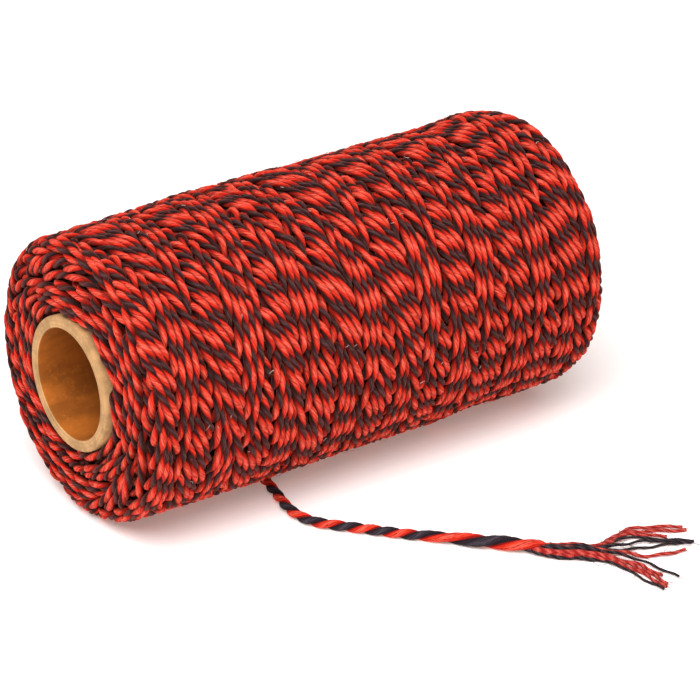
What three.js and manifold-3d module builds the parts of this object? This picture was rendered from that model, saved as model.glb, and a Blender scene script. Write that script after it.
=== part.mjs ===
// A roll of two-colour twine wound crosswise on a paper tube, lying on its side with one loose end.
// Millimetres. X runs along the tube, Z is up, and z = 0 is the surface that the roll lies on.
// The origin is on that surface, under the middle of the roll.

import * as THREE from 'three';
import { mergeVertices } from 'three/addons/utils/BufferGeometryUtils.js';
import Module from 'manifold-3d';

// Driving dimensions
const TWINE_DIAMETER = 2.4;
const TWINE_LAY = 8;              // one full turn of the two plies round each other
const WINDING_LENGTH = 121.6;
const WINDING_RADIUS = 32;
const FLAT_SPOT = 0.6;            // how far the roll's own weight flattens its underside
const WINDING_SWELL = 0.55;       // the middle stands this much prouder than the shoulders
const WINDING_LEAN = 0.3;         // the +X shoulder is this much fatter than the middle line
const TUBE_LENGTH = 124.2;
const TUBE_OUTER_RADIUS = 14.75;
const TUBE_WALL = 2.9;
const TUBE_EDGE = 0.25;           // the board's cut edges are slightly rounded
const FIT_GAP = 0.3;              // clearance between pieces that touch

// The crosswise winding: the twine advances this far along the tube in one turn, to and fro
const WIND_ADVANCE = 46;
const WIND_STARTS = 3;            // bands side by side in one advance
const BAND_RELIEF = 0.9;          // how deep the hollows between crossing bands are

// Shoulders: depth along the tube and squareness of each wound end
const NEAR_SHOULDER = { depth: 3.6, squareness: 3.2, steps: 8 };
const FAR_SHOULDER = { depth: 7, squareness: 2.9, steps: 9 };
const BARREL_STEPS = 34;
const AROUND = 72;
const RELIEF_FADE = { none: 27, full: 31 };   // radii between which the hollows between bands come in

const AXIS_HEIGHT = WINDING_RADIUS - FLAT_SPOT;
const WINDING_BORE_RADIUS = TUBE_OUTER_RADIUS + FIT_GAP;

// Loose end: the middle line of the twine on the surface, from under the roll's front
const TWINE_RADIUS = TWINE_DIAMETER / 2;
const LOOSE_END_ROUTE = [
  [-20.8, -12.2], [-21.9, -16.9], [-22.9, -20.9], [-23.7, -24.2], [-24.1, -27.4],
  [-23.8, -30.6], [-22.7, -33.6], [-20.8, -36.3], [-18.5, -39.0], [-16.3, -41.6],
  [-14.2, -44.1], [-12.2, -46.5], [-10.0, -49.0], [-7.4, -51.7], [-4.6, -54.5],
  [-1.8, -57.6], [0.9, -60.6], [3.6, -63.3], [6.3, -66.2], [8.9, -69.2], [11.4, -72.0],
];
const PLY_OFFSET = 0.54;          // from the twine's middle line to each ply's own
const PLY_RADIUS = 0.66;
const GROOVE_FILL = 0.2;          // half the plies' contact width, where the groove between them ends
const TWIST_STEPS = 12;           // rings in one full turn of the plies
const TWINE_SIDES = 12;

// Frayed end: a flattened stub where the twine opens, and the yarns that fan out from it
const STUB_START = [11.8, -72.4];
const STUB_END = [18.3, -77.4];
const STUB_WIDTHS = [2.3, 4.9];
const STUB_HEIGHTS = [2.3, 1.3];
const YARN_THICKNESS = 0.6;
const YARN_TIP_THICKNESS = 0.4;
const YARN_STEPS = 9;
const STUB_STEPS = 4;
const STUB_SIDES = 8;
const ROOT_SPREAD = 4.2;          // from the first yarn's root to the last one's
const ROOT_DEPTH = 1.2;           // how far each root reaches into the stub
const YARNS = [
  // middle x, middle y, tip x, tip y
  [31.6, -74.0, 40.1, -79.1],
  [30.2, -75.4, 39.6, -80.9],
  [28.4, -76.2, 34.4, -80.5],
  [28.6, -77.9, 38.0, -85.0],
  [27.2, -79.3, 37.0, -86.0],
  [25.6, -80.8, 35.4, -86.8],
  [24.6, -83.0, 33.4, -88.2],
  [23.0, -84.4, 25.6, -93.9],
  [21.3, -85.4, 23.0, -92.2],
  [20.2, -86.4, 22.2, -95.0],
  [19.1, -87.2, 20.9, -95.8],
  [17.9, -87.8, 19.6, -96.3],
];

const red_black_twine = new THREE.MeshStandardMaterial({ color: 0xa83222, roughness: 0.9, metalness: 0 });
const kraft_board = new THREE.MeshStandardMaterial({ color: 0xcaa06a, roughness: 0.85, metalness: 0 });
const loose_twine = new THREE.MeshStandardMaterial({ color: 0x9c2f28, roughness: 0.9, metalness: 0 });
const yarn_fibre = new THREE.MeshStandardMaterial({ color: 0xb5443a, roughness: 0.95, metalness: 0 });

function namedMesh(name, geometry, material) {
  const mesh = new THREE.Mesh(geometry, material);
  mesh.name = name;
  return mesh;
}

function positionsOnly(geometry) {
  const bare = geometry.index ? geometry.toNonIndexed() : geometry.clone();
  bare.deleteAttribute('normal');
  bare.deleteAttribute('uv');
  return mergeVertices(bare, 1e-4);
}

// Outer radius of the wound barrel at x, before its bands and its flat spot
function barrelRadius(x) {
  const along = (2 * x) / WINDING_LENGTH;
  const lean = along - 0.5 * along * Math.abs(along);
  return WINDING_RADIUS - WINDING_SWELL * along * along + WINDING_LEAN * lean;
}

// Hollows between the bands of twine that cross each other, from 0 on a band to -BAND_RELIEF
function bandHollow(x, angle) {
  const turnsAlong = (WIND_STARTS * x) / WIND_ADVANCE;
  const turnsAround = (WIND_STARTS * angle) / (2 * Math.PI);
  const oneWay = Math.cos(2 * Math.PI * (turnsAlong - turnsAround));
  const otherWay = Math.cos(2 * Math.PI * (turnsAlong + turnsAround));
  return -BAND_RELIEF * 0.5 * (1 - Math.max(oneWay, otherWay));
}

// Quarter of a superellipse from the bore's edge out to the barrel: x depth and radius
function shoulderProfile(shoulder, endX, inward) {
  const barrelX = endX + inward * shoulder.depth;
  const rise = barrelRadius(barrelX) - WINDING_BORE_RADIUS;
  const power = 2 / shoulder.squareness;
  const points = [];
  for (let step = 0; step <= shoulder.steps; step += 1) {
    const angle = (0.5 * Math.PI * step) / shoulder.steps;
    const x = endX + inward * shoulder.depth * (1 - Math.cos(angle) ** power);
    points.push(new THREE.Vector2(WINDING_BORE_RADIUS + rise * Math.sin(angle) ** power, x));
  }
  return points;
}

function windingGeometry() {
  const nearX = -WINDING_LENGTH / 2;
  const farX = WINDING_LENGTH / 2;
  const near = shoulderProfile(NEAR_SHOULDER, nearX, 1);
  const far = shoulderProfile(FAR_SHOULDER, farX, -1).reverse();
  const barrelStart = nearX + NEAR_SHOULDER.depth;
  const barrelEnd = farX - FAR_SHOULDER.depth;
  const barrel = [];
  for (let step = 1; step < BARREL_STEPS; step += 1) {
    const x = THREE.MathUtils.lerp(barrelStart, barrelEnd, step / BARREL_STEPS);
    barrel.push(new THREE.Vector2(barrelRadius(x), x));
  }
  const profile = [...near, ...barrel, ...far, near[0].clone()];
  const geometry = positionsOnly(new THREE.LatheGeometry(profile, AROUND));
  // The lathe turns about Y: lay that axis along X
  geometry.rotateZ(-Math.PI / 2);
  const position = geometry.attributes.position;
  const point = new THREE.Vector3();
  for (let i = 0; i < position.count; i += 1) {
    point.fromBufferAttribute(position, i);
    const angle = Math.atan2(point.y, -point.z);
    const radius = Math.hypot(point.y, point.z);
    // The relief fades out over the shoulders and leaves the bore round
    const outward = THREE.MathUtils.smoothstep(radius, RELIEF_FADE.none, RELIEF_FADE.full);
    const scale = (radius + outward * bandHollow(point.x, angle)) / radius;
    const z = Math.max(0, AXIS_HEIGHT + point.z * scale);
    position.setXYZ(i, point.x, point.y * scale, z);
  }
  return geometry;
}

function tubeGeometry() {
  const half = TUBE_LENGTH / 2;
  const inner = TUBE_OUTER_RADIUS - TUBE_WALL;
  const edge = TUBE_EDGE;
  const profile = [
    [inner, -half + edge], [inner + edge, -half], [TUBE_OUTER_RADIUS - edge, -half],
    [TUBE_OUTER_RADIUS, -half + edge], [TUBE_OUTER_RADIUS, half - edge],
    [TUBE_OUTER_RADIUS - edge, half], [inner + edge, half], [inner, half - edge],
    [inner, -half + edge],
  ].map(([radius, x]) => new THREE.Vector2(radius, x));
  const geometry = positionsOnly(new THREE.LatheGeometry(profile, AROUND));
  geometry.rotateZ(-Math.PI / 2);
  geometry.translate(0, 0, AXIS_HEIGHT);
  return geometry;
}

// A closed solid through rings of points, each ring with the same number of them
function loft(rings) {
  const sides = rings[0].length;
  const vertices = rings.flat();
  const triangles = [];
  for (let ring = 0; ring < rings.length - 1; ring += 1) {
    for (let side = 0; side < sides; side += 1) {
      const a = ring * sides + side;
      const b = ring * sides + ((side + 1) % sides);
      triangles.push(a, b, b + sides, a, b + sides, a + sides);
    }
  }
  const last = (rings.length - 1) * sides;
  for (const [start, flip] of [[0, true], [last, false]]) {
    const middle = new THREE.Vector3();
    for (let side = 0; side < sides; side += 1) middle.add(vertices[start + side]);
    vertices.push(middle.divideScalar(sides));
    for (let side = 0; side < sides; side += 1) {
      const a = start + side;
      const b = start + ((side + 1) % sides);
      triangles.push(vertices.length - 1, flip ? b : a, flip ? a : b);
    }
  }
  const numbers = vertices.flatMap((vertex) => vertex.toArray());
  const geometry = new THREE.BufferGeometry();
  geometry.setAttribute('position', new THREE.Float32BufferAttribute(numbers, 3));
  geometry.setIndex(triangles);
  return geometry;
}

// Distance from the middle line of the twine to its outside, along one direction of its section:
// two round plies side by side, with the groove between them
function twineOutline(angle) {
  const across = Math.abs(Math.cos(angle));
  const reach = PLY_RADIUS ** 2 - (PLY_OFFSET * Math.sin(angle)) ** 2;
  return PLY_OFFSET * across + Math.sqrt(Math.max(reach, GROOVE_FILL ** 2));
}

function looseEndGeometry() {
  const route = new THREE.CatmullRomCurve3(
    LOOSE_END_ROUTE.map(([x, y]) => new THREE.Vector3(x, y, TWINE_RADIUS)), false, 'centripetal');
  const steps = Math.round((route.getLength() / TWINE_LAY) * TWIST_STEPS);
  const rings = [];
  for (let step = 0; step <= steps; step += 1) {
    const at = route.getPointAt(step / steps);
    const along = route.getTangentAt(step / steps);
    const side = new THREE.Vector3(0, 0, 1).cross(along).normalize();
    const up = along.clone().cross(side);
    // Left-handed: the plies turn backwards as the twine runs on
    const twist = (-2 * Math.PI * step) / TWIST_STEPS;
    const ring = [];
    for (let corner = 0; corner < TWINE_SIDES; corner += 1) {
      const angle = (2 * Math.PI * corner) / TWINE_SIDES;
      const out = twineOutline(angle);
      ring.push(at.clone()
        .addScaledVector(side, out * Math.cos(angle + twist))
        .addScaledVector(up, out * Math.sin(angle + twist)));
    }
    rings.push(ring);
  }
  return loft(rings);
}

// A yarn's ring: a small square that rests flat on the surface
function yarnRing(at, along, thickness) {
  const side = new THREE.Vector3(0, 0, 1).cross(along).normalize().multiplyScalar(thickness / 2);
  const low = new THREE.Vector3(at.x, at.y, 0);
  const high = new THREE.Vector3(at.x, at.y, thickness);
  return [low.clone().sub(side), low.clone().add(side), high.clone().add(side), high.clone().sub(side)];
}

function stubGeometry() {
  const start = new THREE.Vector3(...STUB_START, 0);
  const end = new THREE.Vector3(...STUB_END, 0);
  const side = new THREE.Vector3(0, 0, 1).cross(end.clone().sub(start)).normalize();
  const rings = [];
  for (let step = 0; step <= STUB_STEPS; step += 1) {
    const share = step / STUB_STEPS;
    const width = THREE.MathUtils.lerp(...STUB_WIDTHS, share);
    const height = THREE.MathUtils.lerp(...STUB_HEIGHTS, share);
    const ring = [];
    for (let corner = 0; corner < STUB_SIDES; corner += 1) {
      const angle = (2 * Math.PI * (corner + 0.5)) / STUB_SIDES;
      const lift = (height / 2) * (1 + Math.sin(angle) / Math.cos(Math.PI / STUB_SIDES));
      ring.push(start.clone().lerp(end, share)
        .addScaledVector(side, (width / 2) * Math.cos(angle))
        .add(new THREE.Vector3(0, 0, lift)));
    }
    rings.push(ring);
  }
  return loft(rings);
}

function yarnGeometry([middleX, middleY, tipX, tipY], order) {
  const start = new THREE.Vector3(...STUB_START, 0);
  const end = new THREE.Vector3(...STUB_END, 0);
  const along = end.clone().sub(start).normalize();
  const side = new THREE.Vector3(0, 0, 1).cross(along);
  const place = 0.5 - order / (YARNS.length - 1);
  const root = end.clone().addScaledVector(side, ROOT_SPREAD * place);
  const path = new THREE.CatmullRomCurve3([
    root.clone().addScaledVector(along, -ROOT_DEPTH),
    root.clone(),
    new THREE.Vector3(middleX, middleY, 0),
    new THREE.Vector3(tipX, tipY, 0),
  ], false, 'centripetal');
  const rings = [];
  for (let step = 0; step <= YARN_STEPS; step += 1) {
    const share = step / YARN_STEPS;
    const thickness = THREE.MathUtils.lerp(YARN_THICKNESS, YARN_TIP_THICKNESS, share ** 3);
    rings.push(yarnRing(path.getPointAt(share), path.getTangentAt(share), thickness));
  }
  return loft(rings);
}

// The stub and its yarns are joined into one solid, because the roots are fused into it
async function frayedGeometry() {
  const wasm = await Module();
  wasm.setup();
  const asSolid = (geometry) => {
    const merged = mergeVertices(geometry, 1e-4);
    return new wasm.Manifold(new wasm.Mesh({
      numProp: 3,
      vertProperties: Float32Array.from(merged.attributes.position.array),
      triVerts: Uint32Array.from(merged.index.array),
    }));
  };
  let solid = asSolid(stubGeometry());
  YARNS.forEach((yarn, order) => {
    solid = solid.add(asSolid(yarnGeometry(yarn, order)));
  });
  const mesh = solid.getMesh();
  const geometry = new THREE.BufferGeometry();
  geometry.setAttribute('position', new THREE.Float32BufferAttribute(mesh.vertProperties, 3));
  geometry.setIndex([...mesh.triVerts]);
  return geometry;
}

const roll = new THREE.Group();
roll.add(
  namedMesh('winding', windingGeometry(), red_black_twine),
  namedMesh('core_tube', tubeGeometry(), kraft_board),
  namedMesh('loose_end', looseEndGeometry(), loose_twine),
  namedMesh('frayed_yarns', await frayedGeometry(), yarn_fibre),
);

export default roll;
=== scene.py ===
"""A roll of red and black two-ply twine, wound crosswise on a paper tube, with one frayed loose end."""

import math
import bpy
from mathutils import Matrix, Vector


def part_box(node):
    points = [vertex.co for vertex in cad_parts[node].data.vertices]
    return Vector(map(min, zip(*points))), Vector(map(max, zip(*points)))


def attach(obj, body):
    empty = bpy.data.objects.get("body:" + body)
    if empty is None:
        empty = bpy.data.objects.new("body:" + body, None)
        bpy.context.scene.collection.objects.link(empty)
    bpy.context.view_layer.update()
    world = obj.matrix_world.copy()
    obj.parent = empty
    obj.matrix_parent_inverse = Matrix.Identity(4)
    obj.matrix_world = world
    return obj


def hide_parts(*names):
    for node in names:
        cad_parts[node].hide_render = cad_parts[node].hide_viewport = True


bl_info = {
    "name": "Twine Roll",
    "version": (1, 0, 0),
    "blender": (4, 5, 0),
    "location": "3D View > Sidebar > Twine Roll",
    "description": "Models a roll of two-ply twine on a paper tube with a frayed loose end",
    "category": "Object",
}

import bmesh
import bpy
import numpy as np
from bpy.props import FloatProperty, FloatVectorProperty, IntProperty, PointerProperty
from mathutils import Matrix, Vector

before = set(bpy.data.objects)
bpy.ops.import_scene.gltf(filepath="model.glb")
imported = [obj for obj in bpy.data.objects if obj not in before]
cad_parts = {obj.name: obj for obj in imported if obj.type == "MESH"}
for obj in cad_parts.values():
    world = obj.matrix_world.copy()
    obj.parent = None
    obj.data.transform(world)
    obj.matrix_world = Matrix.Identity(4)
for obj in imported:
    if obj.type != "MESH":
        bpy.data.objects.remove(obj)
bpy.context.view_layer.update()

MM = 0.001
TAU = 2 * math.pi

# Sizes that the frame gives
WINDING_LOW, WINDING_HIGH = (np.array(corner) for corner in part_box("winding"))
TUBE_LOW, TUBE_HIGH = (np.array(corner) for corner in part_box("core_tube"))
WINDING_LENGTH = WINDING_HIGH[0] - WINDING_LOW[0]
TUBE_LENGTH = TUBE_HIGH[0] - TUBE_LOW[0]
TUBE_RADIUS = (TUBE_HIGH[2] - TUBE_LOW[2]) / 2
AXIS_HEIGHT = (TUBE_HIGH[2] + TUBE_LOW[2]) / 2

# The wound form, close to that of the solids: the middle stands prouder than the ends by the swell, and
# the far half is fatter than the near one by the lean
WINDING_RADIUS = 32 * MM
WINDING_SWELL = 0.55 * MM
WINDING_LEAN = 0.3 * MM
FIT_GAP = 0.3 * MM
NEAR_SHOULDER = {"depth": 5.0 * MM, "squareness": 3.0}
FAR_SHOULDER = {"depth": 6.8 * MM, "squareness": 2.9}
# The turns stand a little proud of that plain form, more so at the near end, and the direction in which
# they stand is evened out over this length
PROUD = 0.15 * MM
NEAR_PROUD = 0.9 * MM
EVENED = 2.0 * MM
# On top the roll is lower at the near end and higher at the far rim
TOP_LEVELS = (
    {"height": -0.8 * MM, "place": -55 * MM, "width": 14 * MM},
    {"height": 1.4 * MM, "place": 49.5 * MM, "width": 7.5 * MM},
)

# The paper tube: its wall, the rounding of its cut edges, the step of its inner seam and one layer of paper
TUBE_WALL = 2.6 * MM
TUBE_EDGE = 0.35 * MM
TUBE_CHAMFER = 0.1 * MM
SEAM_STEP = 0.16 * MM
SEAM_ADVANCE = 38 * MM
PAPER_LAYER = {"thickness": 0.42 * MM, "relief": 0.05 * MM}
BOARD_RINGS = 3
# Faces of the tube up to this far out from the bore belong to it
BORE_LAYER = 0.12 * MM
# Steps round the tube and round the body of the deep turns
TUBE_STEPS = 120
UNDER_LAYER_STEPS = 96

# Outside of one ply, from the groove before it to the groove after it: share of the ply's half span, and
# distance from the twine's middle line as a share of the twine's width
PLY_OUTSIDE = [(-1.0, 0.27), (-0.8, 0.37), (-0.45, 0.46), (0.0, 0.5), (0.45, 0.46), (0.8, 0.37)]
PLY_SIDES = len(PLY_OUTSIDE)
TWINE_SIDES = 2 * PLY_SIDES
YARNS_IN_PLY = 4
# Which ply each side of the section belongs to: 0 red, 1 black
PLY_OF_SIDE = np.arange(TWINE_SIDES) // PLY_SIDES
# Rings in one lay, on the roll and in the loose end
RINGS_PER_LAY = 10
LOOSE_RINGS_PER_LAY = 14

# Loose end: the middle line of the twine on the surface, from under the roll's front, in millimetres
LOOSE_END_ROUTE = [
    (-20.8, -12.2), (-21.9, -16.9), (-22.9, -20.9), (-23.7, -24.2), (-24.1, -27.4),
    (-23.8, -30.6), (-22.7, -33.6), (-20.8, -36.3), (-18.5, -39.0), (-16.3, -41.6),
    (-14.2, -44.1), (-12.2, -46.5), (-10.0, -49.0), (-7.4, -51.7), (-4.6, -54.5),
    (-1.8, -57.6), (0.9, -60.6), (3.6, -63.3), (6.3, -66.2), (8.9, -69.2), (11.4, -72.0),
]
# The same line runs on under the roll, to where the last turn leaves it
TUCKED_START = (-20.3, -9.4)

# From here on the plies of the loose end lie slack: they lose this share of their twist over the first
# length, and grow wider and higher by these shares over the second one
SLACK = {"from": 47.5 * MM, "twist": 0.5, "over": 3 * MM}
OPENING = {"over": 14 * MM, "wider": 0.8, "higher": 0.12}
# The end of the twine tapers over this length, down to a rest of its width
CLOSING = {"over": 4 * MM, "rest": 0.02}
# Turn of the plies where the loose end starts
FIRST_TURN = 0.2

# Frayed end, in millimetres: where the twine falls open, and three places on each yarn from there to its tip
STUB_END = (18.3, -77.4)
YARNS = [
    ("red", [(28.8, -73.4), (32.9, -74.5), (40.1, -79.1)]),
    ("red", [(28.4, -74.7), (31.8, -75.8), (39.8, -80.8)]),
    ("red", [(28.0, -75.4), (30.6, -77.1), (34.4, -80.6)]),
    ("black", [(27.3, -76.0), (30.7, -78.9), (38.0, -85.1)]),
    ("black", [(24.7, -78.3), (30.0, -79.7), (36.7, -85.7)]),
    ("black", [(22.9, -79.3), (27.2, -81.0), (35.9, -84.2)]),
    ("red", [(22.1, -80.5), (26.2, -84.6), (34.0, -87.0)]),
    ("black", [(21.8, -82.7), (24.1, -88.2), (25.4, -94.2)]),
    ("red", [(20.6, -83.6), (22.3, -86.7), (22.4, -92.2)]),
    ("red", [(20.0, -84.2), (21.3, -88.0), (21.6, -95.0)]),
    ("red", [(19.3, -84.6), (20.3, -88.6), (20.6, -95.6)]),
    ("black", [(18.6, -84.2), (18.9, -89.0), (19.6, -96.2)]),
]
# How far apart the two outer yarns lie, in millimetres too, and the height of a yarn's middle line at its
# seven places from inside the twine to its tip: at the sides of the heap, and what the heap adds to it
YARN_SPREAD = {"inside": 1.6, "mouth": 3.6, "root": 5.6}
YARN_HEIGHTS = [(1.25, 0), (0.7, 1.2), (0.6, 1.5), (0.5, 1.3), (0.45, 0.7), (0.4, 0.3), (0.45, 0.5)]
YARN_THICKNESS = {"red": 1.4 * MM, "black": 1.1 * MM}
YARN_LAY = 4.5 * MM
# The yarn thins by this share from one share of its length on, and its thickness wavers
YARN_SLIM = {"share": 0.4, "from": 0.35, "over": 0.3}
YARN_WAVER = {"share": 0.07, "waves": 31}
# The yarn keeps the crimp that it had in the twine
CRIMP = {"reach": 0.2 * MM, "length": 6.8 * MM, "from": 0.15, "over": 0.25}
# Fine fibres of one yarn: from which share of its length on they stand off, and how much they lean and bend
STRAY = {"count": 14, "from": 0.45, "reach": (1.2 * MM, 3.6 * MM), "lean": 0.45, "bend": 0.5}
STRAY_THICKNESS = (0.13 * MM, 0.06 * MM)
FRAY_SEED = 11

# Turns, in the order in which they are laid: steps round the roll, and the grid on its surface
COLUMNS = 400
CELL = 0.25 * MM
# The barrel ends where the roll's radius is this much smaller
BARREL_EDGE = 1.3 * MM
# Turns on both shoulders together in one cycle, and how blunt the curve is that the twine turns back in
SHOULDER_TURNS = 1.5
END_DWELL_SHAPE = 1.9
# How far out it turns back: at least this share of the shoulder, and a share that a golden series spreads
END_REACH = {"least": 0.4, "golden": 0.618034, "power": 0.45, "near": 0.37, "far": 0.11}
# In steps: how long one stray of the path is, and how far to each side the path is smoothed
STRAYING_STEPS = 45
SMOOTHED_STEPS = 12
# How many twists the rows of one colour sway to and fro, over which lengths round and along the roll
ROW_SWAY = {"twists": 0.36, "round": 20 * MM, "along": 9.5 * MM}
# How many twists they drift along the twine, over how many steps
ROW_DRIFT = {"twists": 0.11, "steps": 260}
# Turns laid close round the tube at each end, and after what share of all turns
COLLAR_TURNS = 3
COLLAR_TIME = 0.88
# From a packed turn's middle line to where it touches its neighbours, as a share of its width
PACKED_HALF = 0.46
# How deep and over what length a stretch dives at its ends, where it passes under others
DIVE = {"depth": 0.8 * MM, "length": 2.4 * MM}
# Waviness of the outer surface, over lengths in steps round it and in cells along it
UNEVEN = {"height": 0.2 * MM, "round": 7, "along": 14}
# How much of the twine's half width holds a lower turn down
CORE_SHARE = 0.6
# A point counts as sunk by how far it faces away from outward, and by how many widths its twine lies deep;
# the more sunk, the more painted shade it gets
SUNK = {"away": 1.6, "deep": 0.25, "from": 0.5}
MOST_TRIANGLES = 185000

# The body of the deep turns lies this far inside, and its outline has steps of this length
UNDER_LAYER_DEPTH = 2.9 * MM
UNDER_LAYER_STEP = 1.5 * MM

# Short fibres of the plies, and pale lint that clings to the roll
FUZZ = {"count": 900, "length": (1.2 * MM, 3.0 * MM), "rise": 0.7 * MM, "thickness": 0.07 * MM}
LINT = {"count": 130, "length": (0.5 * MM, 1.4 * MM), "rise": 0.2 * MM, "thickness": 0.13 * MM}
FIBRE_CURL = 1.2
FIBRE_ROOT = 0.1 * MM

# Pattern of the spun fibre: slant of the yarns and how far the dye shifts them, then the strongest that
# the painted highlight on the crown, lint and the painted shade of depth show
FIBRE = {"slant": -0.08, "shift": 1.2, "painted_highlight": 0.34, "lint": 0.6, "painted_depth_shade": 0.65}

# Camera and light, in the frame's metres
CAMERA_PLACE = (-0.34866, -0.47762, 0.31631)
CAMERA_AIM = (0.00475, -0.00831, 0.02355)
KEY_LIGHT_PLACE = (-0.35, -0.3, 0.75)
KEY_LIGHT_AIM = (0, 0, 0.03)
KEY_LIGHT_SIZE = 0.7
FLOOR_REACH = 3.0
# The warm tint of the floor's glow paints red light into the shadow under the roll, as if thrown off by the
# twine
FLOOR_GLOW = (1.0, 0.72, 0.63, 1.0)


def length_setting(name, description, default):
    return FloatProperty(name=name, description=description, default=default, unit="LENGTH")


def colour_setting(name, description, default):
    return FloatVectorProperty(name=name, description=description, default=default, size=3, subtype="COLOR")


class TwineSettings(bpy.types.PropertyGroup):
    """The twine itself."""

    diameter: length_setting("Diameter", "Width of the twine over both plies", 2.4 * MM)
    packed: length_setting("Packed width", "Width of the twine where it is pressed on the roll", 1.98 * MM)
    red_share: FloatProperty(
        name="Red share",
        description="Share of the packed twine's outside that is red",
        default=0.65,
        min=0,
        max=1,
    )
    lay: length_setting("Lay", "Length of one full turn of the plies on the roll", 8 * MM)
    loose_lay: length_setting("Loose lay", "Length of one full turn in the loose end", 7.75 * MM)
    red: colour_setting("Red ply", "Colour of the red ply", (0.88, 0.036, 0.013))
    black: colour_setting("Black ply", "Colour of the black ply on the roll", (0.021, 0.011, 0.013))


class WindingSettings(bpy.types.PropertyGroup):
    """How the twine is laid on the roll."""

    advance: length_setting("Advance", "Distance along the tube in one turn", 46 * MM)
    pitch: length_setting("Pitch", "Distance between neighbouring turns", 1.6 * MM)
    cycles: IntProperty(
        name="Cycles",
        description="Times the twine goes to the far end and back",
        default=64,
        min=4,
        max=90,
    )
    starts: IntProperty(
        name="Bands",
        description="Bands of turns side by side in one advance",
        default=3,
        min=1,
        max=6,
    )
    wander: length_setting("Wander", "How far a turn strays from its even path", 0.16 * MM)
    seed: IntProperty(name="Seed", description="Seed of the uneven winding", default=7)


class TubeSettings(bpy.types.PropertyGroup):
    """The paper tube."""

    board: colour_setting("Board", "Colour of the cut edge", (0.56, 0.32, 0.14))
    bore: colour_setting("Bore", "Colour of the inside", (0.4, 0.115, 0.014))


class StageSettings(bpy.types.PropertyGroup):
    """Camera, lights and floor."""

    lens: FloatProperty(
        name="Lens",
        description="Focal length on a 36 mm sensor",
        default=154.26,
        subtype="DISTANCE_CAMERA",
    )
    roll: FloatProperty(
        name="Roll",
        description="Tilt of the camera about its own view",
        default=math.radians(0.779),
        subtype="ANGLE",
    )
    sky: FloatProperty(name="Sky", description="Strength of the white surroundings", default=0.45, min=0)
    key: FloatProperty(
        name="Key light",
        description="Power of the overhead light",
        default=11.0,
        min=0,
        unit="POWER",
    )
    lift: FloatProperty(name="Floor glow", description="Light that the table gives", default=0.26, min=0)
    floor: colour_setting("Floor", "Colour of the floor", (0.92, 0.92, 0.92))


# Shared helpers


def link(obj):
    bpy.context.scene.collection.objects.link(obj)
    return obj


def add_piece(name, mesh, materials, node):
    """A finished piece: it rides on the part's only body, stands for a solid and takes the given materials.
    """
    for material in materials:
        mesh.materials.append(material)
    obj = link(bpy.data.objects.new(name, mesh))
    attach(obj, "root")
    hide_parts(node)
    return obj


def finished_mesh(bm, name):
    mesh = bpy.data.meshes.new(name)
    bm.to_mesh(mesh)
    bm.free()
    return mesh


def spun_outline(outline, steps):
    """A closed outline of x and radius, spun once round the X axis."""
    bm = bmesh.new()
    verts = [bm.verts.new((x, 0, radius)) for x, radius in outline]
    edges = [bm.edges.new(pair) for pair in zip(verts, verts[1:] + verts[:1])]
    bmesh.ops.spin(
        bm, geom=verts + edges, cent=(0, 0, 0), axis=(1, 0, 0), dvec=(0, 0, 0), angle=TAU, steps=steps,
        use_merge=True, use_normal_flip=False, use_duplicate=False,
    )
    bmesh.ops.remove_doubles(bm, verts=bm.verts, dist=0.001 * MM)
    return bm


def lift_to_axis(bm):
    """Moves a body that was made round the X axis up to the roll's own axis, and finishes its faces."""
    bmesh.ops.translate(bm, verts=bm.verts, vec=(0, 0, AXIS_HEIGHT))
    bmesh.ops.recalc_face_normals(bm, faces=bm.faces)
    for face in bm.faces:
        face.smooth = True


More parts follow.
